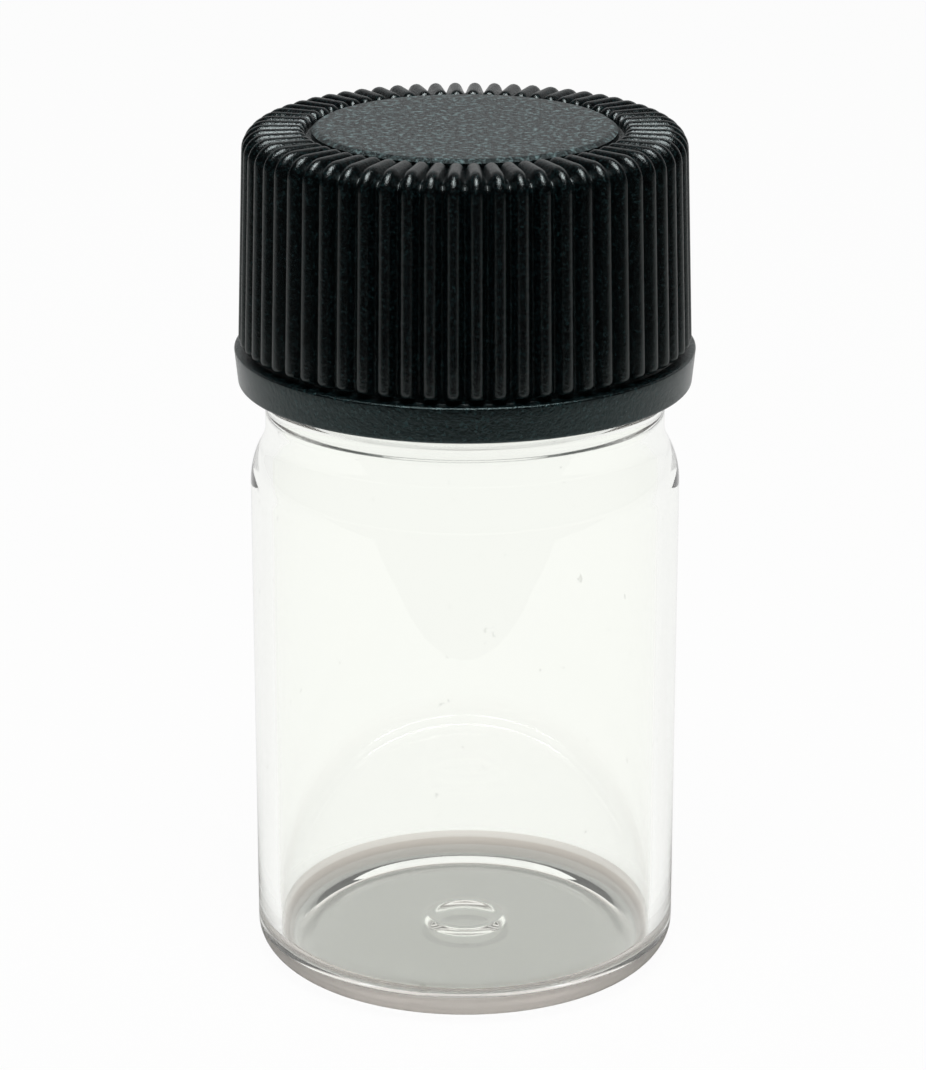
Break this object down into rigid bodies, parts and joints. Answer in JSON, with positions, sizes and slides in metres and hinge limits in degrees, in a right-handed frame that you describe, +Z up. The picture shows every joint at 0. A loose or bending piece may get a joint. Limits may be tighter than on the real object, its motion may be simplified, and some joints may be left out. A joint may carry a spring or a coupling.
{
  "type": "glass sample vial",
  "caption": "Small wide-bodied glass sample vial with a ribbed black screw cap, a sealing liner inside the cap and a real screw thread on the neck.",
  "frame": {"origin": "middle of the underside, on the surface that the vial stands on", "axes": "+Z up along the axis of the vial, out of its mouth; +X and +Y across it"},
  "size_m": [0.0234, 0.0234, 0.0442],
  "materials": {
    "glass": "clear borosilicate glass, fire-polished, smooth",
    "cap": "black compression-moulded phenolic, satin ribs, fine spark-eroded grain on the top disc and the band",
    "liner": "soft off-white sealing disc"
  },
  "bodies": {
    "vial": {"vial": "glass"},
    "liner": {"liner": "liner"},
    "cap": {"cap": "cap"}
  },
  "joints": [
    {"name": "cap_lift", "type": "slide", "parent": "vial", "child": "liner", "axis": [0, 0, 1], "range_m": [0, 0.01588]},
    {"name": "cap_turn", "type": "hinge", "parent": "liner", "child": "cap", "pos_m": [0, 0, 0.0377], "axis": [0, 0, 1], "range_deg": [0, 1800]}
  ],
  "couplings": [
    {"joint": "cap_turn", "follows": "cap_lift", "rad_per_m": 1979}
  ]
}
